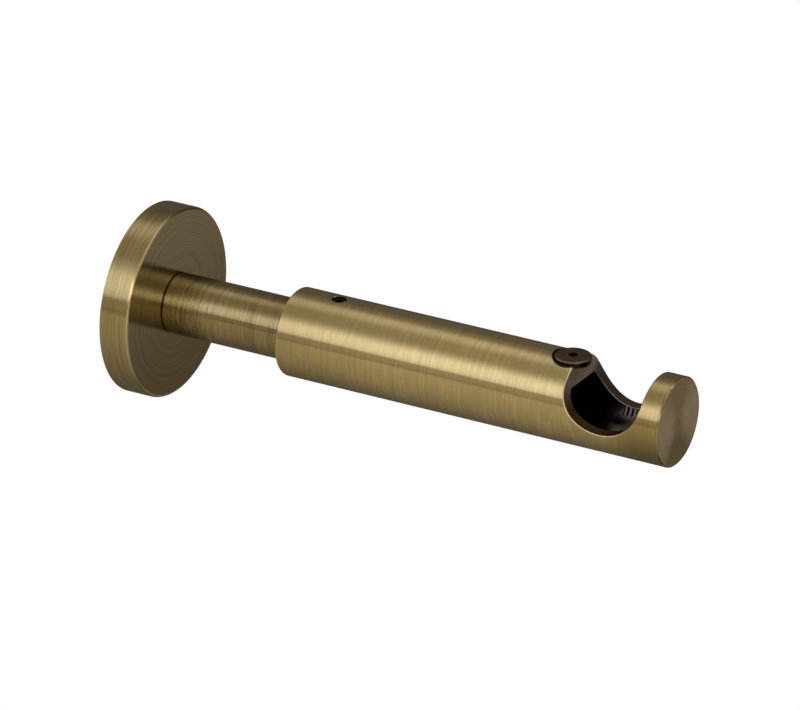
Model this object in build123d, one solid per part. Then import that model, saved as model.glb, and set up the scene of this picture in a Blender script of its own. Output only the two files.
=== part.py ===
from build123d import *

import math
import os

# Telescopic curtain pole bracket. Millimetres, +Z up, the wall is the plane Y = 0, and the bracket
# stands out from it along -Y. The origin is the middle of the rose on the wall, and the pole lies
# along X. A distance is measured from the wall, along the axis of the bracket.

# Pole and the cradle that it lies in
pole_d = 28.0
cradle_clearance = 0.3
cradle_rise = 10.35
cradle_lean = 2.5
cradle_edge_chamfer = 0.25
lip_thickness = 7.6

# Rose, the turned cover on the wall
rose_d = 67.0
rose_depth = 10.75
rose_front = 2.6
rose_side = 2.4
rose_edge_chamfer = 0.6
rose_inner_chamfer = 1.2
stud_passage_gap = 0.35

# Wall plate under the rose
plate_d = 56.0
plate_thickness = 2.5
plate_edge_chamfer = 0.5
plate_boss_d = 18.0
wall_hole_d = 4.8
wall_hole_count = 3
wall_hole_circle_d = 38.0
countersink_d = 9.0
countersink_depth = 2.0

# Stud that joins the plate to the stem
stud_d = 8.0
stud_length = 20.0
stud_wall_gap = 1.5
stud_socket = 4.0
stud_socket_depth = 4.5
thread_gap = 0.05

# Stem, the inner tube, and the plug in its end
stem_d = 21.5
stem_wall = 2.0
stem_length = 104.2
stem_end_chamfer = 0.35
stem_seat_gap = 0.05
plug_length = 14.0
plug_gap = 0.03
plug_mouth_chamfer = 0.8

# Sleeve, the outer tube that slides on the stem
sleeve_wall = 4.67
sleeve_length = 145.6
sleeve_setting = 58.0
sleeve_end_wall = 3.5
sleeve_rear_round = 1.0
sleeve_front_chamfer = 0.4
sleeve_mouth_chamfer = 0.4
slide_clearance = 0.08
bore_end_chamfer = 1.2
boss_thickness = 3.7
boss_tail = 3.4

# Lock screw, a headless screw through the sleeve onto the stem
lock_screw_d = 5.0
lock_screw_length = 4.0
lock_screw_setback = 16.6
lock_screw_socket = 2.5
lock_screw_socket_depth = 2.0
lock_screw_tip_gap = 0.02
lock_hole_chamfer = 0.25

# Pole screw, whose flat head reaches over the pole
pole_screw_d = 5.0
pole_screw_length = 8.0
pole_screw_edge_distance = 3.4
pole_screw_socket = 3.0
pole_screw_socket_depth = 2.4
pole_screw_socket_turn = 30.0
head_d = 12.9
head_thickness = 2.25
head_sink = 0.1
head_edge_chamfer = 0.5
head_side_gap = 0.15
screw_end_chamfer = 0.5

# Worked out from the values above
cradle_r = pole_d / 2 + cradle_clearance
rose_r = rose_d / 2
rose_inner_depth = rose_depth - rose_front
plate_r = plate_d / 2
stud_r = stud_d / 2
stem_r = stem_d / 2
stem_bore_r = stem_r - stem_wall
stem_start = rose_depth + stem_seat_gap
bore_r = stem_r + slide_clearance
sleeve_r = bore_r + sleeve_wall
sleeve_end = sleeve_setting + sleeve_length
cradle_distance = sleeve_end - lip_thickness - cradle_r
lock_screw_distance = sleeve_setting + lock_screw_setback
pole_screw_distance = cradle_distance - cradle_r - pole_screw_edge_distance
head_top = sleeve_r - head_sink
head_seat = head_top - head_thickness
spot_face_r = head_d / 2 + head_side_gap
boss_start = pole_screw_distance - pole_screw_d / 2 - boss_tail
boss_underside = bore_r - boss_thickness
above = 2 * sleeve_r


def band(inner_r, outer_r, start, end):
    """Half section of a ring: two radii, and two distances from the wall."""
    middle = Pos((inner_r + outer_r) / 2, (start + end) / 2)
    return middle * Rectangle(outer_r - inner_r, end - start)


def corner(section, radius, distance):
    """The corner of a half section at a radius and a distance from the wall."""
    return section.vertices().sort_by_distance((radius, distance, 0))[0]


def turned(section):
    """Revolve a half section about the axis, which stands out from the wall."""
    return Plane.XZ * revolve(Plane.XZ * section, Axis.Z)


def bar(radius, start, end):
    """A plain round bar on the axis."""
    return turned(band(0, radius, start, end))


def upright(radius, distance, low, high):
    """A vertical round bar that crosses the axis at a distance from the wall."""
    return Pos(0, -distance, low) * extrude(Circle(radius), high - low)


def hexagon_socket(across_flats, depth):
    """Cutter for a hexagon socket that opens upwards at the origin, with a drilled point."""
    flats = RegularPolygon(across_flats / 2, 6, major_radius=False)
    walls = Pos(0, 0, -depth) * extrude(flats, depth)
    point_height = across_flats / 2 * math.tan(math.radians(30))
    point = Pos(0, 0, -depth - point_height / 2) * Cone(0.05, across_flats / 2, point_height)
    return walls + point


def make_rose():
    """Turned cup with a flat face, open to the wall, with a hole for the stud."""
    outer = band(0, rose_r, 0, rose_depth)
    outer = chamfer(corner(outer, rose_r, rose_depth), rose_edge_chamfer)
    inner = band(0, rose_r - rose_side, 0, rose_inner_depth)
    inner = chamfer(corner(inner, rose_r - rose_side, rose_inner_depth), rose_inner_chamfer)
    passage = band(0, stud_r + stud_passage_gap, 0, rose_depth)
    return turned(outer - inner - passage)


def wall_hole_places():
    """Places of the wall screws on the plate, the first one straight above the axis."""
    step = 360 / wall_hole_count
    for index in range(wall_hole_count):
        yield Rot(0, index * step, 0) * Pos(0, 0, wall_hole_circle_d / 2)


def make_wall_plate():
    """Round plate with a tapped boss that the rose seats on, and countersunk wall screw holes."""
    disc = band(0, plate_r, 0, plate_thickness)
    disc = chamfer(corner(disc, plate_r, plate_thickness), plate_edge_chamfer)
    boss = band(0, plate_boss_d / 2, 0, rose_inner_depth)
    tapping = band(0, stud_r + thread_gap, 0, rose_inner_depth)
    plate = turned(disc + boss - tapping)
    hole = bar(wall_hole_d / 2, 0, plate_thickness)
    sink_start = plate_thickness - countersink_depth
    sink = Polyline((0, sink_start), (wall_hole_d / 2, sink_start), (countersink_d / 2, plate_thickness),
                    (0, plate_thickness), close=True)
    hole += turned(make_face(sink))
    for place in wall_hole_places():
        plate -= place * hole
    return plate


def make_wall_stud():
    """Headless stud, screwed into the plate's boss and on through the rose into the stem's plug."""
    end = stud_wall_gap + stud_length
    section = band(0, stud_r, stud_wall_gap, end)
    section = chamfer([corner(section, stud_r, stud_wall_gap), corner(section, stud_r, end)], screw_end_chamfer)
    socket = Pos(0, -end, 0) * Rot(90, 0, 0) * hexagon_socket(stud_socket, stud_socket_depth)
    return turned(section) - socket


def make_stem():
    """Plain tube that stands on the rose and carries the sleeve."""
    end = stem_start + stem_length
    section = band(stem_bore_r, stem_r, stem_start, end)
    section = chamfer([corner(section, stem_r, stem_start), corner(section, stem_r, end)], stem_end_chamfer)
    return turned(section)


def make_stem_plug():
    """Round plug fixed in the rear end of the stem, tapped for the stud."""
    section = band(stud_r + thread_gap, stem_bore_r - plug_gap, stem_start, stem_start + plug_length)
    section = chamfer(corner(section, stud_r + thread_gap, stem_start), plug_mouth_chamfer)
    return turned(section)


def sleeve_hollow():
    """Cored hollow of the sleeve: round where the stem slides, flat on top under the screw boss."""
    slide = bar(bore_r, sleeve_setting, boss_start)
    mouth = Polyline((0, sleeve_setting), (bore_r + sleeve_mouth_chamfer, sleeve_setting),
                     (bore_r, sleeve_setting + sleeve_mouth_chamfer),
                     (0, sleeve_setting + sleeve_mouth_chamfer), close=True)
    cut_off = Pos(0, boss_underside + bore_r) * Rectangle(2 * bore_r, 2 * bore_r)
    flat_topped = Circle(bore_r) - cut_off
    hollow_end = sleeve_end - sleeve_end_wall
    nose = extrude(Plane.XZ.offset(boss_start) * flat_topped, hollow_end - boss_start)
    nose = chamfer(nose.faces().sort_by(Axis.Y)[0].edges(), bore_end_chamfer)
    return slide + turned(make_face(mouth)) + nose


def cradle_cut():
    """U-shaped cutter for the pole: a half round below, and sides that lean out a little above."""
    lean = math.radians(cradle_lean)
    side = cradle_r * math.cos(lean)
    tangent_height = cradle_rise - cradle_r * math.sin(lean)
    top = above
    top_side = side + (top - tangent_height) * math.tan(lean)
    middle = -cradle_distance
    bottom = ThreePointArc((middle - side, tangent_height), (middle, cradle_rise - cradle_r),
                           (middle + side, tangent_height))
    sides = Polyline((middle + side, tangent_height), (middle + top_side, top), (middle - top_side, top),
                     (middle - side, tangent_height))
    return extrude(Plane.YZ * make_face(bottom + sides), above, both=True)


def cradle_rim(sleeve):
    """Edges where the cradle's cut leaves the outside of the sleeve."""
    reach = cradle_r + lip_thickness / 2
    for edge in sleeve.edges():
        middle = edge.position_at(0.5)
        on_outside = abs(math.hypot(middle.X, middle.Z) - sleeve_r) < 0.01
        if on_outside and abs(middle.Y + cradle_distance) < reach:
            yield edge


def make_sleeve():
    """Outer tube, closed in front, with the cradle, the screw boss and the two screw holes."""
    outside = band(0, sleeve_r, sleeve_setting, sleeve_end)
    outside = fillet(corner(outside, sleeve_r, sleeve_setting), sleeve_rear_round)
    outside = chamfer(corner(outside, sleeve_r, sleeve_end), sleeve_front_chamfer)
    sleeve = turned(outside) - sleeve_hollow() - cradle_cut()
    sleeve = chamfer(list(cradle_rim(sleeve)), cradle_edge_chamfer)
    sleeve -= upright(spot_face_r, pole_screw_distance, head_seat, above)
    sleeve -= upright(pole_screw_d / 2 + thread_gap, pole_screw_distance, 0, above)
    lock_hole_r = lock_screw_d / 2 + thread_gap
    sleeve -= upright(lock_hole_r, lock_screw_distance, 0, above)
    rim_height = 2 * lock_hole_chamfer
    rim = Cone(lock_hole_r, lock_hole_r + rim_height, rim_height)
    return sleeve - Pos(0, -lock_screw_distance, sleeve_r) * rim


def make_lock_screw():
    """Headless screw whose tip bears on the stem."""
    low = stem_r + lock_screw_tip_gap
    screw = upright(lock_screw_d / 2, lock_screw_distance, low, low + lock_screw_length)
    screw = chamfer(screw.edges().filter_by(GeomType.CIRCLE), screw_end_chamfer)
    socket = hexagon_socket(lock_screw_socket, lock_screw_socket_depth)
    return screw - Pos(0, -lock_screw_distance, low + lock_screw_length) * socket


def make_pole_screw():
    """Screw with a thin flat head, seated in the spot face behind the cradle."""
    head = upright(head_d / 2, pole_screw_distance, head_seat, head_top)
    head = chamfer(head.faces().sort_by(Axis.Z)[-1].edges(), head_edge_chamfer)
    shank_low = head_seat - pole_screw_length
    shank = upright(pole_screw_d / 2, pole_screw_distance, shank_low, head_seat)
    shank = chamfer(shank.faces().sort_by(Axis.Z)[0].edges(), screw_end_chamfer)
    socket = hexagon_socket(pole_screw_socket, pole_screw_socket_depth)
    return head + shank - Pos(0, -pole_screw_distance, head_top) * Rot(0, 0, pole_screw_socket_turn) * socket


def main():
    """Make each piece and write it to a file of its own."""
    pieces = {
        "rose": make_rose(),
        "wall_plate": make_wall_plate(),
        "wall_stud": make_wall_stud(),
        "stem": make_stem(),
        "stem_plug": make_stem_plug(),
        "sleeve": make_sleeve(),
        "lock_screw": make_lock_screw(),
        "pole_screw": make_pole_screw(),
    }
    os.makedirs("parts", exist_ok=True)
    for name, piece in pieces.items():
        export_step(piece, f"parts/{name}.step")


main()
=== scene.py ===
"""The looks of a telescopic curtain pole bracket in brushed antique brass.

Metres, +Z up. The wall is the plane Y = 0 and the bracket stands out from it along -Y, with the pole along
X. A distance is measured from the wall, along the axis of the bracket. A span says where a soft step gives 0
and where it gives 1, so it falls where its second number is the smaller one.
"""

import logging
import math
from dataclasses import dataclass, field
from enum import Enum
from typing import Any, Callable, Union

import bpy
from mathutils import Matrix, Vector


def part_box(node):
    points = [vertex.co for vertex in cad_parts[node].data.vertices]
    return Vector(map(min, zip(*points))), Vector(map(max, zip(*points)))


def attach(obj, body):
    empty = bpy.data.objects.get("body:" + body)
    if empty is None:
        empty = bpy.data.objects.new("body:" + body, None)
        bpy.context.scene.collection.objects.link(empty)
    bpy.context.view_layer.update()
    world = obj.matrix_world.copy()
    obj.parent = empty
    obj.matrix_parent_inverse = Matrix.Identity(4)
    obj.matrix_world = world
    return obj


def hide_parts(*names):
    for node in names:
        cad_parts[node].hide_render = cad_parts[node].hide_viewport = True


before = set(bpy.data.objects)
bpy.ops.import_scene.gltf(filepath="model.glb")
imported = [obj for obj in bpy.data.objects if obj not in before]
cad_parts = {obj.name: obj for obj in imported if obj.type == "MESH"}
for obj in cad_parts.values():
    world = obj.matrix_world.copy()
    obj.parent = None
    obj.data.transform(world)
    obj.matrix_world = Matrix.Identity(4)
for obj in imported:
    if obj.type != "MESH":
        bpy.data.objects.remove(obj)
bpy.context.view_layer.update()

MM = 0.001
NOWHERE = 1.0  # a distance that no piece reaches
SMOOTH_ANGLE = math.radians(32.0)  # faces that meet at less than this look like one
Colour = tuple[float, float, float, float]
Span = tuple[float, float]
Number = Union["Signal", float]

log = logging.getLogger("bracket")


class Axis(Enum):
    """Which way the axis of a turned piece points."""

    OUTWARD = "along Y, out from the wall"
    UPRIGHT = "along Z"


class Thread(Enum):
    """The threads in use: a radius, a hair under the nominal one, and a pitch."""

    M5 = (2.49 * MM, 0.8 * MM)
    M8 = (3.99 * MM, 1.25 * MM)


@dataclass(frozen=True)
class NodeSize:
    """How large a node of the frame is, and where it lies. Its near end is the one towards the wall."""

    radius: float
    near: float
    far: float
    bottom: float
    top: float

    @classmethod
    def of(cls, node: str) -> "NodeSize":
        """Measure a node.

        Args:
            node: the node's name.

        Returns:
            Its size, rounded to 0.0001 mm because the frame's meshes are in single precision.
        """
        low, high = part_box(node)
        return cls(*(round(value, 7) for value in (high.x, -high.y, -low.y, low.z, high.z)))

    @property
    def middle(self) -> float:
        """Distance of its middle from the wall."""
        return (self.near + self.far) / 2


ROSE_NODE = NodeSize.of("rose")
STEM_NODE = NodeSize.of("stem")
SLEEVE_NODE = NodeSize.of("sleeve")
POLE_SCREW_NODE = NodeSize.of("pole_screw")
LOCK_SCREW_NODE = NodeSize.of("lock_screw")


class Graph:
    """A node tree that is written as Python expressions."""

    def __init__(self, tree: bpy.types.NodeTree) -> None:
        """Start an empty tree.

        Args:
            tree: the node tree of a material or of the world.
        """
        self.tree = tree
        self.tree.nodes.clear()

    def add(self, kind: str, settings: dict[str, Any], sockets: dict[str, Any]) -> bpy.types.Node:
        """Add any node.

        Args:
            kind: Blender's name for the type of node.
            settings: properties of the node, set before its sockets.
            sockets: values or links, by the identifier of the input socket.

        Returns:
            The new node.
        """
        node = self.tree.nodes.new(kind)
        for key, value in settings.items():
            setattr(node, key, value)
        for key, value in sockets.items():
            target = next(socket for socket in node.inputs if socket.identifier == key)
            if isinstance(value, Signal):
                value = value.socket
            if isinstance(value, bpy.types.NodeSocket):
                self.tree.links.new(value, target)
            else:
                target.default_value = value
        return node

    def math(self, operation: str, *values: Number) -> "Signal":
        """Add a Math node.

        Args:
            operation: Blender's name for the operation.
            values: one to three numbers or signals.

        Returns:
            The result as a signal.
        """
        sockets = dict(zip(("Value", "Value_001", "Value_002"), values))
        return Signal(self, self.add("ShaderNodeMath", {"operation": operation}, sockets).outputs[0])

    def step(self, value: Number, low: float, high: float, at: float = 0.0) -> "Signal":
        """A soft step, 0 where the value is at low and 1 where it is at high.

        Args:
            value: the signal that is compared.
            low: where the step gives 0. It may lie above high, and then the step falls.
            high: where the step gives 1.
            at: the place that low and high are given from.

        Returns:
            The step as a signal.
        """
        low, high = low + at, high + at
        rising = low < high
        ends = (0.0, 1.0) if rising else (1.0, 0.0)
        sockets = {"Value": value, "From Min": min(low, high), "From Max": max(low, high),
                   "To Min": ends[0], "To Max": ends[1]}
        node = self.add("ShaderNodeMapRange", {"interpolation_type": "SMOOTHSTEP"}, sockets)
        return Signal(self, node.outputs[0])

    def window(self, value: Number, rise: Span, fall: Span) -> "Signal":
        """A soft window, 1 between two soft steps and 0 beyond them.

        Args:
            value: the signal that is compared.
            rise: the lower step, from where it gives 0 to where it gives 1.
            fall: the upper step, given in the same order.

        Returns:
            The window as a signal.
        """
        return self.step(value, *rise) * self.step(value, *fall)

    def noise(self, place: bpy.types.NodeSocket, octaves: float) -> "Signal":
        """Smooth noise in space, about 0.5 on average.

        Args:
            place: the point, in grains of the noise.
            octaves: how much fine detail it has.

        Returns:
            The noise as a signal.
        """
        sockets = {"Vector": place, "Scale": 1.0, "Detail": octaves}
        return Signal(self, self.add("ShaderNodeTexNoise", {}, sockets).outputs[0])

    def mix(self, factor: Number, first: Any, second: Any) -> bpy.types.NodeSocket:
        """Blend two colours.

        Args:
            factor: 0 gives the first colour and 1 the second.
            first: a colour or a link.
            second: a colour or a link.

        Returns:
            The blended colour as a link.
        """
        sockets = {"Factor_Float": factor, "A_Color": first, "B_Color": second}
        node = self.add("ShaderNodeMix", {"data_type": "RGBA"}, sockets)
        return next(socket for socket in node.outputs if socket.identifier == "Result_Color")

    def coordinates(self, source: str) -> tuple["Signal", "Signal", "Signal"]:
        """The three coordinates of the shaded point.

        Args:
            source: the output of the Texture Coordinate node, such as Object.

        Returns:
            X, Y and Z as signals.
        """
        place = self.add("ShaderNodeTexCoord", {}, {}).outputs[source]
        parts = self.add("ShaderNodeSeparateXYZ", {}, {"Vector": place}).outputs
        return Signal(self, parts[0]), Signal(self, parts[1]), Signal(self, parts[2])

    def vector(self, x: Number, y: Number, z: Number) -> bpy.types.NodeSocket:
        """Join three numbers into a vector."""
        return self.add("ShaderNodeCombineXYZ", {}, {"X": x, "Y": y, "Z": z}).outputs[0]


@dataclass(frozen=True)
class Signal:
    """A number that varies over a surface. Sums and products of signals add Math nodes to the graph."""

    graph: Graph
    socket: bpy.types.NodeSocket

    def __add__(self, other: Number) -> "Signal":
        """Add a number or a signal."""
        return self.graph.math("ADD", self, other)

    __radd__ = __add__

    def __sub__(self, other: Number) -> "Signal":
        """Take away a number or a signal."""
        return self.graph.math("SUBTRACT", self, other)

    def __rsub__(self, other: Number) -> "Signal":
        """Take this signal away from a number."""
        return self.graph.math("SUBTRACT", other, self)

    def __mul__(self, other: Number) -> "Signal":
        """Multiply by a number or a signal."""
        return self.graph.math("MULTIPLY", self, other)

    __rmul__ = __mul__

    def __truediv__(self, other: Number) -> "Signal":
        """Divide by a number or a signal."""
        return self.graph.math("DIVIDE", self, other)


@dataclass(frozen=True)
class Turning:
    """The lathe axis of a piece, which its brushed lines run round.

    An upright axis stands at a distance from the wall. Angles are exact beyond least_radius.
    """

    axis: Axis = Axis.OUTWARD
    distance: float = 0.0
    least_radius: float = 0.05 * MM

    def place(self, graph: Graph) -> tuple[Signal, Signal, Signal, Signal]:
        """Where the shaded point lies about the axis.

        Args:
            graph: the material's graph.

        Returns:
            The radius, the height along the axis, and the cosine and sine of the angle about it.
        """
        x, y, z = graph.coordinates("Object")
        if self.axis is Axis.OUTWARD:
            across, along = z, y * -1.0
        else:
            across, along = y + self.distance, z
        radius = graph.math("SQRT", x * x + across * across)
        safe = graph.math("MAXIMUM", radius, self.least_radius)
        return radius, along, x / safe, across / safe


@dataclass(frozen=True)
class Brushing:
    """Fine lines that a brush leaves round a turned piece, over broader faint bands.

    A larger lines_round, face_round or bands_round makes them shorter. Octaves and fading set their finer
    detail.
    """

    pitch: float = 0.9 * MM
    face_pitch: float = 0.7 * MM
    depth: float = 0.012 * MM
    lines_round: float = 0.8
    face_round: float = 0.2
    octaves: float = 3.0
    fading: float = 0.9
    band_pitch: float = 6.0 * MM
    bands_round: float = 1.2
    band_octaves: float = 2.0

    def lines(self, graph: Graph, turning: Turning, face: Signal) -> tuple[Signal, Signal]:
        """Heights of the lines and of the bands, each about 0.5 on average.

        Args:
            graph: the material's graph.
            turning: the axis that the lines run round.
            face: 1 on the turned end face, where the lines are full circles, and 0 elsewhere.

        Returns:
            The fine lines and the broad bands, from 0 to 1.
        """
        radius, along, cosine, sine = turning.place(graph)
        fine_round = self.lines_round + face * (self.face_round - self.lines_round)
        layers = []
        for face_pitch, pitch, lines_round, octaves in (
                (self.face_pitch, self.pitch, fine_round, self.octaves),
                (self.band_pitch, self.band_pitch, self.bands_round, self.band_octaves)):
            place = graph.vector(radius / face_pitch, along / pitch, cosine * lines_round)
            sockets = {"Vector": place, "W": sine * lines_round, "Scale": 1.0,
                       "Detail": octaves, "Roughness": self.fading}
            noise = graph.add("ShaderNodeTexNoise", {"noise_dimensions": "4D"}, sockets)
            layers.append(Signal(graph, noise.outputs[0]))
        return layers[0], layers[1]

    def bump(self, graph: Graph, height: Signal) -> bpy.types.NodeSocket:
        """The normal that these lines give.

        Args:
            graph: the material's graph.
            height: the height of the lines, in units of their depth.

        Returns:
            The normal as a link.
        """
        sockets = {"Strength": 1.0, "Distance": self.depth, "Height": height}
        return graph.add("ShaderNodeBump", {}, sockets).outputs[0]


@dataclass(frozen=True)
class Rim:
    """A turned edge in a colour of its own: a light one is a worn edge and also a painted highlight, and a
    dark one is painted shade.

    It faces away from the wall where facing is 1, and towards it where facing is -1. Fade is given from its
    border. At the very top, where the sine of the angle about the axis is beyond crown_sines, its colour is
    crown times as light, a painted highlight.
    """

    radius: float
    distance: float
    facing: float
    width: float
    colour: Colour = (0.70, 0.60, 0.40, 1.0)
    crown: float = 1.0
    crown_sines: Span = (0.915, 0.96)
    fade: Span = (-0.25 * MM, -0.02 * MM)

    def mask(self, graph: Graph, radius: Signal, along: Signal) -> Signal:
        """Where this edge is.

        Args:
            graph: the material's graph.
            radius: distance of the shaded point from the axis.
            along: its height along the axis.

        Returns:
            1 on the edge and 0 away from it.
        """
        inside = (radius - self.radius) + (along - self.distance) * self.facing + self.width
        return graph.step(inside, *self.fade)

    def tint(self, graph: Graph, sine: Signal) -> bpy.types.NodeSocket:
        """Its colour, round the axis.

        Args:
            graph: the material's graph.
            sine: the sine of the angle about the axis.

        Returns:
            The colour as a link.
        """
        # painted highlight: the rim is lighter along its very top
        lighter = tuple(min(1.0, value * self.crown) for value in self.colour[:3])
        return graph.mix(graph.step(sine, *self.crown_sines), self.colour, (*lighter, 1.0))


@dataclass(frozen=True)
class TurnedMetal:
    """A turned and brushed metal with a thin patina, and with rims whose colours show worn edges, painted
    highlights and painted shade.

    Its end face begins at face_distance. The lines there are face_depth times as deep, and face_calm evens
    out their tone. The face carries painted shade: it takes face_shade by the share face_dim, and by
    face_dim_below more below dim_heights, but fan keeps its share of that off the two sides of the face,
    which is a painted sheen. Towards the wall from foot, the lines on the side are foot_depth times as deep.
    """

    name: str
    bright: Colour
    dark: Colour
    patina: Colour
    roughness: float
    rough_spread: float = 0.05
    tone_levels: Span = (0.36, 0.64)
    patina_levels: Span = (0.56, 0.34)
    face_distance: float = NOWHERE
    face_edge: Span = (-0.05 * MM, -0.01 * MM)
    face_roughness: float = 0.04
    face_depth: float = 2.8
    face_calm: float = 0.2
    face_shade: Colour = (0.40, 0.37, 0.28, 1.0)
    face_dim: float = 0.0
    face_dim_below: float = 0.0
    dim_heights: Span = (1.0 * MM, -1.0 * MM)
    fan: float = 0.0
    fan_cosines: Span = (0.3, 1.0)
    fan_radii: Span = (1.0 * MM, 6.0 * MM)
    foot: Span = (0.0, -1.0 * MM)
    foot_depth: float = 1.0
    rims: tuple[Rim, ...] = ()
    brushing: Brushing = field(default_factory=Brushing)
    turning: Turning = field(default_factory=Turning)

    def surface(self, graph: Graph) -> tuple[Any, Signal, Signal]:
        """Colour, roughness and line height of the brushed metal.

        Args:
            graph: the material's graph.

        Returns:
            The colour as a link, and the roughness and the height as signals.
        """
        radius, along, cosine, sine = self.turning.place(graph)
        face = graph.step(along, *self.face_edge, at=self.face_distance)
        fine, broad = self.brushing.lines(graph, self.turning, face)
        tone = graph.step(fine, *self.tone_levels)
        tone = tone + face * self.face_calm * (0.5 - tone)
        colour = graph.mix(tone, self.dark, self.bright)
        colour = graph.mix(graph.step(broad, *self.patina_levels), colour, self.patina)
        # painted shade on the end face, growing towards the bottom
        dim = self.face_dim + self.face_dim_below * graph.step(radius * sine, *self.dim_heights)
        # painted sheen: the fan lifts the painted shade off the two sides of the face
        fan = graph.step(graph.math("ABSOLUTE", cosine), *self.fan_cosines)
        fan = fan * graph.step(radius, *self.fan_radii) * self.fan
        shades = [tuple(value * share for value, share in zip(shade, self.face_shade))
                  for shade in (self.dark, self.bright)]
        colour = graph.mix(face * dim * (1.0 - fan), colour, graph.mix(tone, *shades))
        # rims: worn edges, painted highlights and painted shade
        for rim in self.rims:
            colour = graph.mix(rim.mask(graph, radius, along), colour, rim.tint(graph, sine))
        roughness = self.roughness + self.rough_spread * (1.0 - broad) + face * self.face_roughness
        deeper = 1.0 + graph.step(along, *self.foot) * (self.foot_depth - 1.0)
        height = (fine - 0.5) * (1.0 + face * (self.face_depth - 1.0)) * deeper
        return colour, roughness, height

    def make(self) -> bpy.types.Material:
        """Build the material.

        Returns:
            The new material.
        """
        material = bpy.data.materials.new(self.name)
        material.use_nodes = True
        graph = Graph(material.node_tree)
        colour, roughness, height = self.surface(graph)
        sockets = {"Base Color": colour, "Metallic": 1.0, "Roughness": roughness,
                   "Normal": self.brushing.bump(graph, height)}
        shader = graph.add("ShaderNodeBsdfPrincipled", {}, sockets)
        graph.add("ShaderNodeOutputMaterial", {}, {"Surface": shader.outputs[0]})
        return material


@dataclass(frozen=True)
class Hole:
    """A round hole from above into the sleeve, which is black inside.

    One under a screw's head has a ring of painted shadow round it, which lies a little towards -X, and
    painted shadow on the cut face below it, as strong as its shadow strength. The radial spans are given from
    its radius, and ring_heights from its floor.
    """

    distance: float
    radius: float
    floor: float
    shadow_strength: float = 0.0
    edge: Span = (0.02 * MM, 0.0)
    floor_edge: Span = (0.0, 0.05 * MM)
    ring: Span = (0.5 * MM, 0.1 * MM)
    ring_heights: Span = (0.0, 0.5 * MM)
    shift: float = 0.5 * MM
    cut_shadow: Span = (2.5 * MM, 0.0)
    cut_shadow_heights: Span = (7.0 * MM, 11.0 * MM)
    cut_shadow_share: float = 0.4

    def masks(self, graph: Graph, x: Signal, y: Signal, z: Signal) -> tuple[Signal, Signal, Signal]:
        """Where the hole and the painted shadow of a screw's head round it are.

        Args:
            graph: the material's graph.
            x: place across the bracket.
            y: place along it.
            z: height.

        Returns:
            1 in the hole, on its ring of painted shadow and on the painted shadow below it, and 0 elsewhere.
        """
        off = y + self.distance
        away = graph.math("SQRT", x * x + off * off)
        shifted = x + self.shift
        around = graph.math("SQRT", shifted * shifted + off * off)
        inside = graph.step(away, *self.edge, at=self.radius)
        inside = inside * graph.step(z, *self.floor_edge, at=self.floor)
        # painted shadow of the screw's head: a ring round the hole, shifted towards -X
        ring = graph.step(around, *self.ring, at=self.radius)
        ring = ring * graph.step(z, *self.ring_heights, at=self.floor)
        # painted shadow on the cut face below the head
        cut_shadow = graph.step(around, *self.cut_shadow, at=self.radius) * graph.step(z, *self.cut_shadow_heights)
        return inside, ring * self.shadow_strength, cut_shadow * (self.cut_shadow_share * self.shadow_strength)


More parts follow.
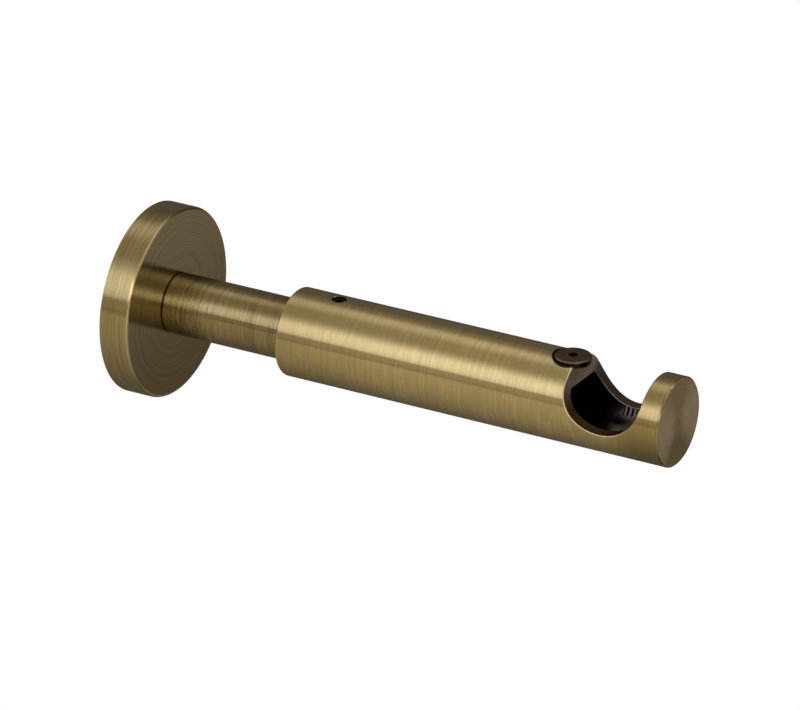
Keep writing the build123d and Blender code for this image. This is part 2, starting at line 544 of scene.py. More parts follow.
@dataclass(frozen=True)
class SleeveBrass(TurnedMetal):
    """The sleeve's brass: brushed outside, with duller cut faces at the cradle and a blackened bore.

    A span of heights is given from the bracket's axis. Other spans are given from the end or the surface that
    they belong to, apart from ridge_rear and ridge_front. The cut faces carry painted light: lighter higher
    up and grey on the far side, where a painted highlight lines the bore. The lip, in front of the cradle,
    carries painted shade, darker towards the bottom, and so does the rear.
    """

    outer_radius: float = SLEEVE_NODE.radius
    bore_radius: float = STEM_NODE.radius + 0.08 * MM
    boss_underside: float = 7.13 * MM
    front: float = SLEEVE_NODE.far
    rear: float = SLEEVE_NODE.near
    skin: Span = (-0.30 * MM, -0.27 * MM)
    front_end: Span = (-0.46 * MM, -0.44 * MM)
    rear_end: Span = (1.05 * MM, 1.03 * MM)
    # painted light on the cut faces: lighter higher up, grey on the far side
    cut_high: Colour = (0.42, 0.385, 0.34, 1.0)
    cut_low: Colour = (0.12, 0.085, 0.038, 1.0)
    cut_heights: Span = (1.0 * MM, 9.5 * MM)
    cut_roughness: float = 0.40
    cut_rough_spread: float = 0.2
    cut_far: Colour = (0.125, 0.115, 0.105, 1.0)
    far_across: Span = (5.0 * MM, 11.0 * MM)
    far_heights: Span = (12.0 * MM, 7.0 * MM)
    mill_pitch: float = 0.35 * MM
    mill_length: float = 3.0 * MM
    mill_octaves: float = 3.0
    mill_levels: Span = (0.62, 0.40)
    mill_share: float = 0.30
    # painted highlight along the bore's edge on the far side
    edge_highlight: Colour = (0.90, 0.78, 0.72, 1.0)
    edge_highlight_reach: Span = (0.6 * MM, 0.36 * MM)
    edge_highlight_across: Span = (4.0 * MM, 7.0 * MM)
    edge_highlight_heights: Span = (6.0 * MM, 0.0)
    # painted shade on the lip, darker towards the bottom
    lip: Colour = (0.35, 0.305, 0.145, 1.0)
    lip_share: float = 0.9
    lip_least: float = 0.3
    lip_reach: Span = (-22.0 * MM, -8.0 * MM)
    lip_heights: Span = (10.0 * MM, -6.0 * MM)
    # painted shade towards the rear end
    rear_shade: Colour = (0.40, 0.355, 0.215, 1.0)
    rear_share: float = 0.30
    rear_reach: Span = (50.0 * MM, 6.0 * MM)
    bore: Colour = (0.075, 0.077, 0.085, 1.0)
    bore_roughness: float = 0.16
    bore_edge: Span = (0.06 * MM, 0.04 * MM)
    bore_end: Span = (-3.8 * MM, -3.7 * MM)
    boss_edge: Span = (0.05 * MM, 0.03 * MM)
    ridge_pitch: float = 1.7 * MM
    ridge_height: float = 9.0
    ridge_rear: Span = (178.5 * MM, 179.5 * MM)
    ridge_front: Span = (184.0 * MM, 182.0 * MM)
    ridge_bottom: Span = (-7.0 * MM, -5.0 * MM)
    ridge_top: Span = (-1.5 * MM, -3.5 * MM)
    # colour of the painted shadow of the pole screw's head
    painted_shadow: Colour = (0.03, 0.022, 0.012, 1.0)
    holes: tuple[Hole, ...] = (
        # the pole screw's head throws painted shadow round its hole
        Hole(POLE_SCREW_NODE.middle, 6.62 * MM, 13.0 * MM, shadow_strength=1.0),
        Hole(LOCK_SCREW_NODE.middle, 2.62 * MM, 2.0 * MM),
    )

    def cut_faces(self, graph: Graph, x: Signal, y: Signal, z: Signal) -> tuple[Any, Signal]:
        """Colour and roughness of the milled faces, with painted light and a painted highlight.

        Args:
            graph: the material's graph.
            x: place across the bracket.
            y: place along it.
            z: height.

        Returns:
            The colour as a link and the roughness as a signal.
        """
        marks = graph.noise(graph.vector(x / self.mill_pitch, y / self.mill_length, z / self.mill_length),
                            self.mill_octaves)
        # painted light: lighter higher up, and grey on the far side
        colour = graph.mix(graph.step(z, *self.cut_heights), self.cut_low, self.cut_high)
        far = graph.step(x, *self.far_across) * graph.step(z, *self.far_heights)
        colour = graph.mix(far, colour, self.cut_far)
        colour = graph.mix(graph.step(marks, *self.mill_levels) * self.mill_share, colour, self.cut_low)
        radius = graph.math("SQRT", x * x + z * z)
        # painted highlight along the bore's edge, on the far side only
        edge_highlight = graph.step(radius, *self.edge_highlight_reach, at=self.bore_radius)
        edge_highlight = edge_highlight * graph.step(x, *self.edge_highlight_across) * graph.step(z, *self.edge_highlight_heights)
        roughness = self.cut_roughness + self.cut_rough_spread * (marks - 0.5)
        return graph.mix(edge_highlight, colour, self.edge_highlight), roughness

    def lip_and_rear_shade(self, graph: Graph, colour: Any, outside: Signal, along: Signal, z: Signal) -> Any:
        """Lay painted shade over the brushed colour: on the lip, stronger towards the bottom, and towards the
        rear.

        Args:
            graph: the material's graph.
            colour: the brushed colour.
            outside: 1 on the outer skin and 0 elsewhere.
            along: distance from the wall.
            z: height.

        Returns:
            The colour as a link.
        """
        # painted shade on the lip, stronger towards the bottom
        lip = graph.step(along, *self.lip_reach, at=self.front)
        lip = lip * (self.lip_least + (1.0 - self.lip_least) * graph.step(z, *self.lip_heights))
        colour = graph.mix(lip * outside * self.lip_share, colour, self.lip)
        # painted shade towards the rear end
        rearward = graph.step(along, *self.rear_reach, at=self.rear)
        return graph.mix(rearward * self.rear_share, colour, self.rear_shade)

    def ridges(self, graph: Graph, along: Signal, z: Signal) -> Signal:
        """Height of the machining ridges in the bore, below the front of the cradle.

        Args:
            graph: the material's graph.
            along: distance from the wall.
            z: height.

        Returns:
            The height as a signal.
        """
        wave = graph.math("SINE", along * (math.tau / self.ridge_pitch)) * self.ridge_height
        wave = wave * graph.window(along, self.ridge_rear, self.ridge_front)
        return wave * graph.window(z, self.ridge_bottom, self.ridge_top)

    def surface(self, graph: Graph) -> tuple[Any, Signal, Signal]:
        """Colour, roughness and relief of the whole sleeve.

        Args:
            graph: the material's graph.

        Returns:
            The colour as a link, and the roughness and the height as signals.
        """
        colour, roughness, height = super().surface(graph)
        radius, along = self.turning.place(graph)[:2]
        x, y, z = graph.coordinates("Object")
        cut_colour, cut_roughness = self.cut_faces(graph, x, y, z)
        outside = graph.step(radius, *self.skin, at=self.outer_radius)
        colour = self.lip_and_rear_shade(graph, colour, outside, along, z)
        ends = graph.math("MAXIMUM", graph.step(along, *self.front_end, at=self.front),
                          graph.step(along, *self.rear_end, at=self.rear))
        brushed = graph.math("MAXIMUM", outside, ends)
        inside = graph.math("MAXIMUM", graph.step(radius, *self.bore_edge, at=self.bore_radius),
                            graph.step(along, *self.bore_end, at=self.front))
        black = inside * graph.step(z, *self.boss_edge, at=self.boss_underside)
        for hole in self.holes:
            in_hole, ring, cut_shadow = hole.masks(graph, x, y, z)
            black = graph.math("MAXIMUM", black, in_hole)
            brushed = brushed * (1.0 - in_hole)
            # painted shadow of the screw's head, on the brass and on the cut face below
            colour = graph.mix(ring, colour, self.painted_shadow)
            cut_colour = graph.mix(cut_shadow, cut_colour, self.painted_shadow)
        colour = graph.mix(brushed, graph.mix(black, cut_colour, self.bore), colour)
        dull = cut_roughness + black * (self.bore_roughness - cut_roughness)
        relief = height * brushed + self.ridges(graph, along, z) * black * (1.0 - brushed)
        return colour, dull + brushed * (roughness - dull), relief


@dataclass(frozen=True)
class ScrewMetal(TurnedMetal):
    """A screw's finish, mottled, with painted shade that darkens its side and thread below side_top."""

    # painted shade down the screw's side and thread
    side: Colour = (0.03, 0.02, 0.014, 1.0)
    side_top: float = NOWHERE
    side_fade: Span = (0.0, -0.15 * MM)
    mottle_size: float = 1.6 * MM
    mottle_octaves: float = 4.0
    mottle_levels: Span = (0.42, 0.62)
    mottle_roughness: float = 0.15

    def surface(self, graph: Graph) -> tuple[Any, Signal, Signal]:
        """Colour, roughness and line height of the screw.

        Args:
            graph: the material's graph.

        Returns:
            The colour as a link, and the roughness and the height as signals.
        """
        colour, roughness, height = super().surface(graph)
        x, y, z = graph.coordinates("Object")
        place = graph.vector(x / self.mottle_size, y / self.mottle_size, z / self.mottle_size)
        mottle = graph.noise(place, self.mottle_octaves)
        colour = graph.mix(graph.step(mottle, *self.mottle_levels), colour, self.patina)
        along = self.turning.place(graph)[1]
        # painted shade: the side and thread below side_top are dark
        colour = graph.mix(graph.step(along, *self.side_fade, at=self.side_top), colour, self.side)
        return colour, roughness + self.mottle_roughness * (mottle - 0.5), height


@dataclass(frozen=True)
class LightBand:
    """A long soft light that lies along the bracket.

    Its angles are about Y, from straight up towards +X, in degrees. Both spans go from dark to full light. It
    has one strength behind the bracket, at its rear, and another in front.
    """

    name: str
    rise: Span
    fall: Span
    rear: float
    front: float
    tint: Colour

    def glow(self, graph: Graph, angle: Signal, behind: Signal) -> Signal:
        """Strength of the light in a direction.

        Args:
            graph: the world's graph.
            angle: the direction's angle in degrees.
            behind: 0 in front of the bracket and 1 behind it.

        Returns:
            The strength as a signal.
        """
        return graph.window(angle, self.rise, self.fall) * (self.front + (self.rear - self.front) * behind)


WHITE: Colour = (1.0, 1.0, 1.0, 1.0)
KEY: Colour = (1.0, 0.93, 0.84, 1.0)
PALE: Colour = (1.0, 0.83, 0.70, 1.0)
WARM: Colour = (1.0, 0.785, 0.44, 1.0)


@dataclass
class Studio:
    """The white studio: a camera, soft light from all round, and a plain floor.

    The camera looks at aim, which lies at aim_pixel of the picture. Spans whose names end in side or wall are
    coordinates of a direction's unit vector, and go from dark to full light. The bands' angles run down from
    seam_angle.
    """

    azimuth: float = math.radians(-61.093)
    elevation: float = math.radians(24.152)
    roll: float = math.radians(0.724)
    distance: float = 2178.2 * MM
    aim: Vector = field(default_factory=lambda: Vector((0.0, -107.3 * MM, 0.0)))
    aim_pixel: tuple[float, float] = (423.42, 361.25)
    picture: tuple[int, int] = (800, 710)
    focal_pixels: float = 6476.2
    sensor_width: float = 36.0
    clip_end: float = 100.0
    rear_ambient: float = 0.10
    front_ambient: float = 0.045
    rear_side: Span = (-0.38, 0.1)
    front_floor_light: float = 0.22
    right_side: Span = (0.3, 0.6)
    lower_side: Span = (0.0, -0.3)
    front_wall_light: float = 0.28
    front_wall: Span = (-0.5, -0.8)
    rear_wall_light: float = 0.20
    rear_wall: Span = (0.5, 0.85)
    seam_angle: float = 120.0
    floor_height: float = -120.0 * MM
    floor_size: float = 8.0
    bands: tuple[LightBand, ...] = (
        LightBand("far wall", (92.0, 70.0), (36.0, 52.0), 0.04, 0.04, WARM),
        LightBand("ceiling", (60.0, 20.0), (-77.0, -72.0), 0.27, 0.30, WARM),
        LightBand("top strip", (37.0, 19.0), (-6.0, 17.0), 0.24, 0.0, KEY),
        LightBand("front strip", (50.0, 32.0), (-8.0, 17.0), 0.0, 0.34, KEY),
        LightBand("key light", (-22.0, -50.0), (-78.0, -72.5), 0.49, 0.25, KEY),
        LightBand("key light's middle", (-36.0, -52.0), (-76.0, -60.0), 0.22, 0.30, KEY),
        LightBand("front key light", (-44.0, -56.0), (-78.0, -72.5), 0.0, 0.80, KEY),
        LightBand("table's edge", (-73.0, -79.0), (-94.0, -86.0), 0.28, 0.34, WARM),
        LightBand("table", (-88.0, -96.0), (-236.0, -79.0), 0.385, 0.54, WARM),
    )

    def add_camera(self) -> None:
        """Put the camera where the photograph was taken from."""
        back = Vector((math.sin(self.azimuth) * math.cos(self.elevation),
                       -math.cos(self.azimuth) * math.cos(self.elevation), math.sin(self.elevation)))
        level = Vector((math.cos(self.azimuth), math.sin(self.azimuth), 0.0))
        upward = back.cross(level)
        right = level * math.cos(self.roll) + upward * math.sin(self.roll)
        up = upward * math.cos(self.roll) - level * math.sin(self.roll)
        bpy.ops.object.camera_add(location=self.aim + back * self.distance)
        camera = bpy.context.object
        camera.name = "camera"
        turn = Matrix((right, up, back)).transposed()
        camera.rotation_euler = turn.to_euler()
        width, height = self.picture
        camera.data.sensor_width = self.sensor_width
        camera.data.lens = self.focal_pixels * self.sensor_width / width
        camera.data.shift_x = (width / 2 - self.aim_pixel[0]) / width
        camera.data.shift_y = (self.aim_pixel[1] - height / 2) / width
        camera.data.clip_end = self.clip_end
        bpy.context.scene.camera = camera

    def add_light(self) -> None:
        """Light the bracket from all round with soft bands, and show plain white behind it."""
        world = bpy.data.worlds.new("studio")
        world.use_nodes = True
        bpy.context.scene.world = world
        graph = Graph(world.node_tree)
        x, y, z = graph.coordinates("Generated")
        angle = graph.math("ARCTAN2", x, z) * math.degrees(1.0)
        angle = angle - 360.0 * graph.math("GREATER_THAN", angle, self.seam_angle)
        behind = graph.step(y, *self.rear_side)
        glow = self.front_ambient + (self.rear_ambient - self.front_ambient) * behind
        below_right = graph.step(x, *self.right_side) * graph.step(z, *self.lower_side)
        glow = glow + self.front_floor_light * below_right * (1.0 - behind)
        glow = glow + self.front_wall_light * graph.step(y, *self.front_wall)
        glow = glow + self.rear_wall_light * graph.step(y, *self.rear_wall)
        total = self.tinted(graph, glow, PALE)
        for band in self.bands:
            share = self.tinted(graph, band.glow(graph, angle, behind), band.tint)
            total = graph.add("ShaderNodeVectorMath", {"operation": "ADD"},
                              {"Vector": total, "Vector_001": share}).outputs[0]
        lit = graph.add("ShaderNodeBackground", {}, {"Color": total}).outputs[0]
        plain = graph.add("ShaderNodeBackground", {}, {"Color": WHITE}).outputs[0]
        seen = graph.add("ShaderNodeLightPath", {}, {}).outputs["Is Camera Ray"]
        both = graph.add("ShaderNodeMixShader", {}, {"Fac": seen, "Shader": lit, "Shader_001": plain})
        graph.add("ShaderNodeOutputWorld", {}, {"Surface": both.outputs[0]})

    @staticmethod
    def tinted(graph: Graph, strength: Signal, tint: Colour) -> bpy.types.NodeSocket:
        """Colour a strength.

        Args:
            graph: the world's graph.
            strength: how bright the light is.
            tint: its colour.

        Returns:
            The coloured light as a link.
        """
        sockets = {"Vector": tint[:3], "Scale": strength}
        return graph.add("ShaderNodeVectorMath", {"operation": "SCALE"}, sockets).outputs[0]

    def add_floor(self) -> None:
        """Lay a plain white floor below the bracket, open to a camera that looks up through it."""
        bpy.ops.object.select_all(action="DESELECT")
        bpy.ops.mesh.primitive_plane_add(size=self.floor_size, location=(0.0, 0.0, self.floor_height))
        floor = bpy.context.object
        floor.name = "floor"
        material = bpy.data.materials.new("floor")
        material.use_nodes = True
        graph = Graph(material.node_tree)
        white = graph.add("ShaderNodeEmission", {}, {"Color": WHITE, "Strength": 1.0}).outputs[0]
        clear = graph.add("ShaderNodeBsdfTransparent", {}, {}).outputs[0]
        below = graph.add("ShaderNodeNewGeometry", {}, {}).outputs["Backfacing"]
        both = graph.add("ShaderNodeMixShader", {}, {"Fac": below, "Shader": white, "Shader_001": clear})
        graph.add("ShaderNodeOutputMaterial", {}, {"Surface": both.outputs[0]})
        floor.data.materials.append(material)
        floor.visible_glossy = False
        floor.visible_diffuse = False
        floor.visible_shadow = False

    def build(self) -> None:
        """Make the whole studio."""
        bpy.context.scene.view_settings.view_transform = "Standard"
        self.add_camera()
        self.add_light()
        self.add_floor()
        log.info("studio: camera, %d light bands and a floor", len(self.bands))


def dress(node: str, material: bpy.types.Material) -> None:
    """Give a node that came with the frame its material.

    Args:
        node: the node's name.
        material: what its surface is made of.
    """
    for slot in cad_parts[node].material_slots:
        slot.material = material
    log.info("%s: dressed with %s", node, material.name)


def deselect() -> None:
    """Leave edit mode and select nothing."""
    if bpy.context.object is not None and bpy.context.object.mode == "EDIT":
        bpy.ops.object.mode_set(mode="OBJECT")
    bpy.ops.object.select_all(action="DESELECT")


def take(piece: bpy.types.Object) -> None:
    """Select one piece alone and make it the active one.

    Args:
        piece: the piece to work on.
    """
    deselect()
    piece.select_set(True)
    bpy.context.view_layer.objects.active = piece


def pick_edges(piece: bpy.types.Object, wanted: Callable[[Vector, Vector], bool]) -> None:
    """Select edges of a piece in edit mode by the places of their ends, and nothing else.

    Args:
        piece: the piece, which is left in edit mode.
        wanted: says whether an edge with these two ends is selected.
    """
    bpy.ops.object.mode_set(mode="EDIT")
    bpy.ops.mesh.select_mode(type="EDGE")
    bpy.ops.mesh.select_all(action="DESELECT")
    bpy.ops.object.mode_set(mode="OBJECT")
    places = [vertex.co for vertex in piece.data.vertices]
    for edge in piece.data.edges:
        edge.select = wanted(places[edge.vertices[0]], places[edge.vertices[1]])
    bpy.ops.object.mode_set(mode="EDIT")


def combine(piece: bpy.types.Object, other: bpy.types.Object, operation: str) -> None:
    """Cut one piece with another, or join them, and remove the other one.

    Args:
        piece: the piece that stays.
        other: the cutter or the addition.
        operation: UNION, DIFFERENCE or INTERSECT.
    """
    take(piece)
    bpy.ops.object.modifier_add(type="BOOLEAN")
    modifier = piece.modifiers[-1]
    modifier.operation = operation
    modifier.solver = "EXACT"
    modifier.object = other
    bpy.ops.object.modifier_apply(modifier=modifier.name)
    take(other)
    bpy.ops.object.delete()


def finish_piece(piece: bpy.types.Object, name: str, node: str, body: str,
                 material: bpy.types.Material) -> None:
    """Smooth, dress and place a new piece for the node that it stands for.

    Args:
        piece: the new piece.
        name: its name.
        node: the node that it replaces.
        body: the body that it rides on.
        material: what its surface is made of.
    """
    take(piece)
    bpy.ops.object.transform_apply(location=True, rotation=True, scale=True)
    bpy.ops.object.shade_smooth_by_angle(angle=SMOOTH_ANGLE)
    bpy.ops.object.modifier_add(type="WEIGHTED_NORMAL")
    piece.modifiers[-1].keep_sharp = True
    bpy.ops.object.modifier_apply(modifier=piece.modifiers[-1].name)
    piece.name = name
    piece.data.materials.clear()
    piece.data.materials.append(material)
    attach(piece, body)
    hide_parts(node)
    log.info("%s: %d faces, stands for %s", name, len(piece.data.polygons), node)


@dataclass
class Rose:
    """The turned cover on the wall, hollow behind, with a softly rounded front edge."""

    material: bpy.types.Material
    radius: float = ROSE_NODE.radius
    depth: float = ROSE_NODE.far
    side_wall: float = 2.4 * MM
    front_wall: float = 2.6 * MM
    passage_radius: float = 4.35 * MM
    edge_round: float = 1.3 * MM
    edge_steps: int = 6
    inner_bevel: float = 1.2 * MM
    inner_steps: int = 4
    steps: int = 160
    tolerance: float = 0.02 * MM

    def ring(self, radius: float, distance: float) -> Callable[[Vector, Vector], bool]:
        """A test for the edges of one ring about the axis.

        Args:
            radius: the ring's radius.
            distance: its distance from the wall.

        Returns:
            The test.
        """
        def on_ring(first: Vector, second: Vector) -> bool:
            """Whether both ends lie on the ring."""
            return all(abs(math.hypot(end.x, end.z) - radius) < self.tolerance
                       and abs(-end.y - distance) < self.tolerance for end in (first, second))
        return on_ring

    def build(self) -> None:
        """Model the cover from a disc: hollow it, pierce it, and round its edge."""
        deselect()
        bpy.ops.mesh.primitive_cylinder_add(vertices=self.steps, radius=self.radius, depth=self.depth,
                                            location=(0.0, -self.depth / 2, 0.0),
                                            rotation=(math.radians(90.0), 0.0, 0.0))
        piece = bpy.context.object
        bpy.ops.object.transform_apply(location=True, rotation=True, scale=True)
        floor = self.depth - self.front_wall
        pick_edges(piece, self.ring(self.radius, 0.0))
        bpy.ops.mesh.select_mode(type="FACE")
        bpy.ops.mesh.inset(thickness=self.side_wall, depth=0.0)
        bpy.ops.mesh.extrude_region_move(TRANSFORM_OT_translate={"value": (0.0, -floor, 0.0)})
        bpy.ops.mesh.inset(thickness=self.radius - self.side_wall - self.passage_radius, depth=0.0)
        bpy.ops.mesh.delete(type="FACE")
        pick_edges(piece, self.ring(self.radius, self.depth))
        bpy.ops.mesh.select_mode(type="FACE")
        bpy.ops.mesh.inset(thickness=self.radius - self.passage_radius, depth=0.0)
        bpy.ops.mesh.delete(type="FACE")
        front_hole = self.ring(self.passage_radius, self.depth)
        inner_hole = self.ring(self.passage_radius, floor)
        pick_edges(piece, lambda first, second: front_hole(first, second) or inner_hole(first, second))
        bpy.ops.mesh.bridge_edge_loops()
        pick_edges(piece, self.ring(self.radius, self.depth))
        bpy.ops.mesh.bevel(offset=self.edge_round, segments=self.edge_steps, profile=0.5)
        pick_edges(piece, self.ring(self.radius - self.side_wall, floor))
        bpy.ops.mesh.bevel(offset=self.inner_bevel, segments=self.inner_steps, profile=0.5)
        bpy.ops.mesh.select_all(action="SELECT")
        bpy.ops.mesh.normals_make_consistent(inside=False)
        bpy.ops.object.mode_set(mode="OBJECT")
        finish_piece(piece, "rose_cover", "rose", "wall_base", self.material)


@dataclass
class Screw:
    """A threaded screw with a hexagon socket, made upright with the top of its thread at the origin.

    Its length and place are those of the node that it stands for. Where it is lying, its top points away
    from the wall. The thread's profile is given in shares of the pitch, and run_in turns are wound below its
    end and cut off. The overlaps and spare lengths keep solids that are joined or cut from sharing a face.
    """

    name: str
    node: str
    body: str
    slot: str
    material: bpy.types.Material
    thread: Thread
    socket: float
    socket_depth: float
    lying: bool = False
    head_radius: float = 0.0
    head_height: float = 0.0
    head_bevel: float = 0.6 * MM
    head_bevel_steps: int = 5
    end_chamfer: float = 0.5 * MM
    drill_angle: float = math.radians(30.0)
    steps: int = 48
    depth_share: float = 0.541
    root_share: float = 0.25
    flank_share: float = 0.3125
    crest_share: float = 0.125
    run_in: float = 1.5
    weld: float = 0.0005 * MM
    cut_tolerance: float = 0.0001 * MM
    envelope_share: float = 1.001
    envelope_spare: float = 1.0 * MM
    head_overlap: float = 0.02 * MM
    cutter_spare: float = 0.5 * MM
    point_overlap: float = 0.05 * MM
    tolerance: float = 0.01 * MM

    @property
    def length(self) -> float:
        """Length of the threaded part."""
        size = NodeSize.of(self.node)
        return size.far - size.near if self.lying else size.top - self.head_height - size.bottom

    @property
    def place(self) -> Vector:
        """Where the top of the thread lies.

        Returns:
            The place in metres.
        """
        size = NodeSize.of(self.node)
        if self.lying:
            return Vector((0.0, -size.far, 0.0))
        return Vector((0.0, -size.middle, size.top - self.head_height))

    def wind(self) -> bpy.types.Object:
        """Wind the thread from its profile, and cut both ends flat.

        Returns:
            The threaded rod.
        """
        radius, pitch = self.thread.value
        depth = self.depth_share * pitch
        start = (radius - depth, 0.0, -self.length - self.run_in * pitch)
        deselect()
        bpy.ops.mesh.primitive_plane_add(size=pitch, location=start)
        rod = bpy.context.object
        bpy.ops.object.transform_apply(location=True, rotation=True, scale=True)
        bpy.ops.object.mode_set(mode="EDIT")
        bpy.ops.mesh.select_mode(type="VERT")
        bpy.ops.mesh.select_all(action="SELECT")
        bpy.ops.mesh.merge(type="CENTER")
        for outward, share in ((0.0, self.root_share), (depth, self.flank_share),
                               (0.0, self.crest_share), (-depth, self.flank_share)):
            bpy.ops.mesh.extrude_region_move(
                TRANSFORM_OT_translate={"value": (outward, 0.0, share * pitch)})
        bpy.ops.object.mode_set(mode="OBJECT")
        bpy.ops.object.modifier_add(type="SCREW")
        winding = rod.modifiers[-1]
        winding.steps = winding.render_steps = self.steps
        winding.screw_offset = pitch
        winding.iterations = math.ceil(self.length / pitch + self.run_in)
        bpy.ops.object.modifier_apply(modifier=winding.name)
        bpy.ops.object.mode_set(mode="EDIT")
        bpy.ops.mesh.select_all(action="SELECT")
        bpy.ops.mesh.remove_doubles(threshold=self.weld)
        for height, facing in ((0.0, 1.0), (-self.length, -1.0)):
            bpy.ops.mesh.select_all(action="SELECT")
            bpy.ops.mesh.bisect(plane_co=(0.0, 0.0, height), plane_no=(0.0, 0.0, facing),
                                use_fill=True, clear_outer=True, threshold=self.cut_tolerance)
        bpy.ops.mesh.select_all(action="SELECT")
        bpy.ops.mesh.normals_make_consistent(inside=False)
        bpy.ops.object.mode_set(mode="OBJECT")
        return rod

    def blank(self, radius: float, low: float, high: float, bevelled: tuple[float, ...], bevel: float,
              bevel_steps: int) -> bpy.types.Object:
        """A round blank with bevelled ends.

        Args:
            radius: its radius.
            low: the height of its lower end.
            high: the height of its upper end.
            bevelled: the heights of the ends that have a bevel.
            bevel: the width of the bevel.
            bevel_steps: segments of the bevel.

        Returns:
            The blank.
        """
        deselect()
        bpy.ops.mesh.primitive_cylinder_add(vertices=2 * self.steps, radius=radius, depth=high - low,
                                            location=(0.0, 0.0, (low + high) / 2))
        blank = bpy.context.object
        bpy.ops.object.transform_apply(location=True, rotation=True, scale=True)
        pick_edges(blank, lambda first, second: any(
            max(abs(first.z - end), abs(second.z - end)) < self.tolerance for end in bevelled))
        bpy.ops.mesh.bevel(offset=bevel, segments=bevel_steps, profile=0.5)
        bpy.ops.object.mode_set(mode="OBJECT")
        return blank

    def socket_cutter(self) -> bpy.types.Object:
        """The hexagon with the drill's point below it.

        Returns:
            The cutter.
        """
        floor = self.head_height - self.socket_depth
        depth = self.socket_depth + self.cutter_spare
        deselect()
        bpy.ops.mesh.primitive_cylinder_add(vertices=6, radius=self.socket / math.sqrt(3.0), depth=depth,
                                            location=(0.0, 0.0, floor + depth / 2))
        cutter = bpy.context.object
        bpy.ops.object.transform_apply(location=True, rotation=True, scale=True)
        point_height = self.socket / 2 * math.tan(self.drill_angle)
        deselect()
        bpy.ops.mesh.primitive_cone_add(vertices=self.steps, radius1=0.0, radius2=self.socket / 2,
                                        depth=point_height + self.point_overlap,
                                        location=(0.0, 0.0, floor - (point_height - self.point_overlap) / 2))
        point = bpy.context.object
        bpy.ops.object.transform_apply(location=True, rotation=True, scale=True)
        combine(cutter, point, "UNION")
        return cutter

    def build(self) -> None:
        """Model the screw, and put it in its hole."""
        piece = self.wind()
        headed = self.head_height > 0.0
        top = self.envelope_spare if headed else 0.0
        envelope = self.blank(self.thread.value[0] * self.envelope_share, -self.length, top,
                              (-self.length, top), self.end_chamfer, 1)
        combine(piece, envelope, "INTERSECT")
        if headed:
            head = self.blank(self.head_radius, -self.head_overlap, self.head_height,
                              (self.head_height,), self.head_bevel, self.head_bevel_steps)
            combine(piece, head, "UNION")
        combine(piece, self.socket_cutter(), "DIFFERENCE")
        if self.lying:
            piece.rotation_euler = (math.radians(90.0), 0.0, 0.0)
        piece.location = self.place
        finish_piece(piece, self.name, self.node, self.body, self.material)


def brass(name: str, shade: float, contrast: float) -> tuple[str, Colour, Colour, Colour]:
    """The name and the three colours of an antique brass.

    Args:
        name: the material's name.
        shade: how light it is, 1 on the sleeve.
        contrast: how much darker its lines are.

    Returns:
        What a TurnedMetal starts with.
    """
    bright = (0.79 * shade, 0.705 * shade, 0.43 * shade, 1.0)
    dark = tuple(value * (1.0 - contrast) for value in bright[:3])
    patina = (0.66 * shade, 0.595 * shade, 0.375 * shade, 1.0)
    return name, bright, (*dark, 1.0), patina


# The sleeve's end face carries painted shade, darker towards the bottom, with a painted sheen at its sides.
SLEEVE_BRASS = SleeveBrass(
    *brass("sleeve_brass", 1.0, 0.20), roughness=0.10, face_distance=SLEEVE_NODE.far, face_dim=0.70,
    face_dim_below=0.38, dim_heights=(4.0 * MM, -11.0 * MM), fan=0.7,
    # front rim: painted shade, with a painted highlight along its top; rear rim: worn, and also a painted
    # highlight
    rims=(Rim(SLEEVE_NODE.radius, SLEEVE_NODE.far, 1.0, 0.4 * MM, colour=(0.28, 0.25, 0.16, 1.0), crown=3.2),
          Rim(SLEEVE_NODE.radius, SLEEVE_NODE.near, -1.0, 0.6 * MM)),
    brushing=Brushing(depth=0.014 * MM))
STEM_BRASS = TurnedMetal(
    *brass("stem_brass", 0.64, 0.40), roughness=0.08, rough_spread=0.03, foot=(36.0 * MM, 21.0 * MM),
    foot_depth=9.0,
    # painted shade: the stem's near rim is near-black, the shade in the seam against the rose
    rims=(Rim(STEM_NODE.radius, STEM_NODE.near, -1.0, 0.22 * MM, colour=(0.05, 0.035, 0.015, 1.0)),),
    brushing=Brushing(pitch=0.7 * MM, depth=0.016 * MM, lines_round=0.35))
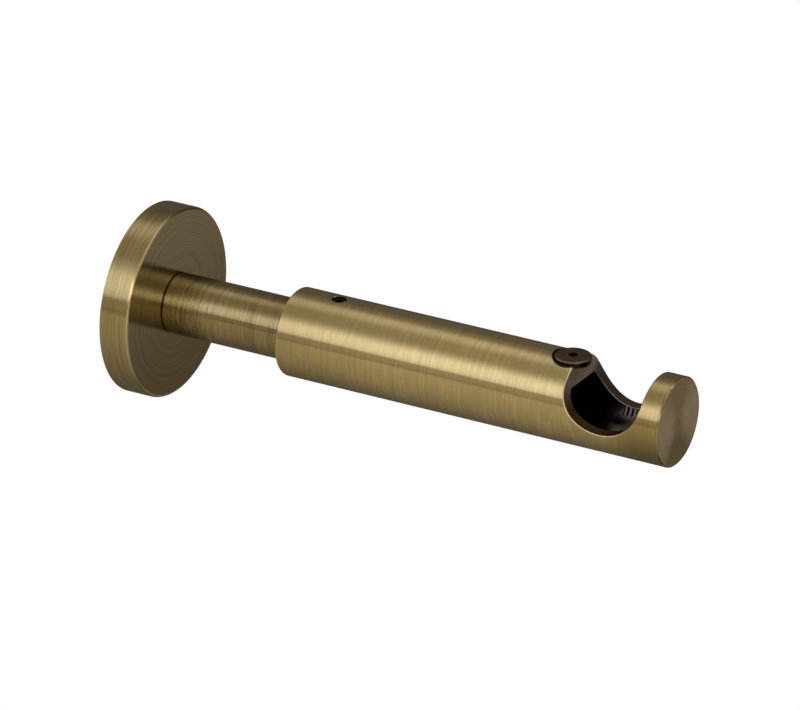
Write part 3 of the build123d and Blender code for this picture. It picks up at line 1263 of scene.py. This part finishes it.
# The rose's face carries painted shade, darker towards the bottom.
ROSE_BRASS = TurnedMetal(
    *brass("rose_brass", 0.76, 0.34), roughness=0.09, face_distance=ROSE_NODE.far, face_dim=0.27,
    face_dim_below=0.67, dim_heights=(30.0 * MM, -30.0 * MM),
    # front rim: worn, and also a painted highlight
    rims=(Rim(ROSE_NODE.radius, ROSE_NODE.far, 1.0, 0.6 * MM),))
ZINC = TurnedMetal(
    "zinc", bright=(0.74, 0.77, 0.80, 1.0), dark=(0.60, 0.62, 0.64, 1.0), patina=(0.62, 0.62, 0.52, 1.0),
    roughness=0.30)
BRONZE = ScrewMetal(
    "bronze", bright=(0.25, 0.18, 0.125, 1.0), dark=(0.18, 0.12, 0.085, 1.0),
    patina=(0.17, 0.135, 0.085, 1.0), roughness=0.25, turning=Turning(Axis.UPRIGHT, POLE_SCREW_NODE.middle),
    side_top=14.9 * MM)
BLACK_OXIDE = ScrewMetal(
    "black_oxide", bright=(0.07, 0.065, 0.065, 1.0), dark=(0.04, 0.04, 0.042, 1.0),
    patina=(0.08, 0.055, 0.045, 1.0), roughness=0.3, turning=Turning(Axis.UPRIGHT, LOCK_SCREW_NODE.middle),
    side_top=14.3 * MM)


def main() -> None:
    """Build the studio, dress the pieces that came with the frame, and model the others."""
    logging.basicConfig(level=logging.INFO, format="%(message)s")
    Studio().build()
    dress("sleeve", SLEEVE_BRASS.make())
    dress("stem", STEM_BRASS.make())
    zinc = ZINC.make()
    for node in ("wall_plate", "stem_plug"):
        dress(node, zinc)
    Rose(ROSE_BRASS.make()).build()
    Screw("pole_screw_m5", "pole_screw", "retaining_screw", "bronze_screw", BRONZE.make(), Thread.M5,
          socket=3.0 * MM, socket_depth=2.4 * MM, head_radius=6.3 * MM, head_height=2.25 * MM).build()
    Screw("lock_screw_m5", "lock_screw", "locking_screw", "black_screw", BLACK_OXIDE.make(), Thread.M5,
          socket=2.5 * MM, socket_depth=2.0 * MM).build()
    Screw("wall_stud_m8", "wall_stud", "wall_base", "zinc_screw", zinc, Thread.M8,
          socket=4.0 * MM, socket_depth=4.5 * MM, lying=True).build()


if __name__ == "__main__":
    main()
